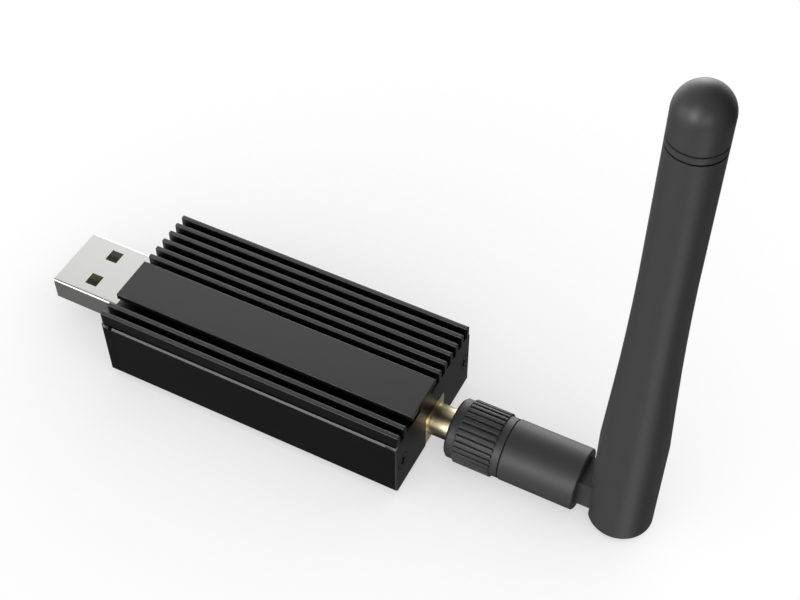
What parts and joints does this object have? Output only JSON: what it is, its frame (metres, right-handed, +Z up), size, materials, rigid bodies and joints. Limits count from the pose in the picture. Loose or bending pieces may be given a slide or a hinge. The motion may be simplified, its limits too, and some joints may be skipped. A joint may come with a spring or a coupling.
{
  "type": "smart home usb radio stick",
  "caption": "USB radio stick in a finned black metal case, with a plug at one end and a screw-on folding antenna at the other.",
  "frame": {"origin": "middle of the case's flat underside", "axes": "+X from the plug towards the antenna, +Z up through the fins, +Y completes a right-handed frame"},
  "size_m": [0.1057, 0.0254, 0.0869],
  "materials": {
    "black_anodised": "black anodised, fine matt blast",
    "nickel": "bright nickel plate",
    "black_steel": "black oxide",
    "gold_plate": "gold plated, polished",
    "white_insulator": "smooth",
    "white_tongue": "moulded",
    "board_laminate": "solder mask",
    "chip_epoxy": "moulded epoxy",
    "tinned_can": "tin plate",
    "crystal_can": "seam welded can",
    "capacitor_ceramic": "fired",
    "light_resin": "clear resin",
    "key_plastic": "moulded",
    "nut_plastic": "moulded, satin",
    "barrel_plastic": "moulded, satin",
    "blade_plastic": "moulded, soft matt",
    "lead_jacket": "translucent brown jacket",
    "spring_bronze": "bare"
  },
  "bodies": {
    "stick": {"case_sleeve": "black_anodised", "plug_end_plate": "black_anodised", "antenna_end_plate": "black_anodised", "plug_end_screws": "black_steel", "antenna_end_screws": "black_steel", "circuit_board": "board_laminate", "plug_shell": "nickel", "plug_tongue": "white_tongue", "plug_contacts": "gold_plate", "radio_shield": "tinned_can", "radio_chip": "chip_epoxy", "bridge_chip": "chip_epoxy", "voltage_regulator": "chip_epoxy", "crystals": "crystal_can", "status_lights": "light_resin", "capacitors": "capacitor_ceramic", "boot_switch": "chip_epoxy", "reset_switch": "chip_epoxy", "jack_body": "gold_plate", "jack_insulator": "white_insulator", "jack_contact": "gold_plate"},
    "nut": {"coupling_nut": "nut_plastic"},
    "swivel": {"swivel_barrel": "barrel_plastic", "barrel_lead": "lead_jacket", "antenna_ferrule": "gold_plate", "ferrule_insulator": "white_insulator", "centre_pin": "gold_plate", "retaining_ring": "spring_bronze"},
    "blade": {"antenna_blade": "blade_plastic", "tip_cap": "blade_plastic", "dipole_sleeve": "spring_bronze", "blade_lead": "lead_jacket", "whip_wire": "spring_bronze"},
    "boot_key": {"boot_plunger": "key_plastic"},
    "reset_key": {"reset_plunger": "key_plastic"}
  },
  "joints": [
    {"name": "nut_turn", "type": "hinge", "parent": "stick", "child": "nut", "pos_m": [0.035, 0.0004, 0.00353], "axis": [1, 0, 0], "continuous": true},
    {"name": "antenna_swivel", "type": "hinge", "parent": "stick", "child": "swivel", "pos_m": [0.046, 0.0004, 0.00353], "axis": [1, 0, 0], "continuous": true},
    {"name": "antenna_elbow", "type": "hinge", "parent": "swivel", "child": "blade", "pos_m": [0.05869, 0.0004, 0.00353], "axis": [0, 1, 0], "range_deg": [0, 90]},
    {"name": "boot_press", "type": "slide", "parent": "stick", "child": "boot_key", "axis": [0, 0, -1], "range_m": [0, 0.00025], "stiffness_N_per_m": 6000},
    {"name": "reset_press", "type": "slide", "parent": "stick", "child": "reset_key", "axis": [0, 0, -1], "range_m": [0, 0.00025], "stiffness_N_per_m": 6000}
  ]
}
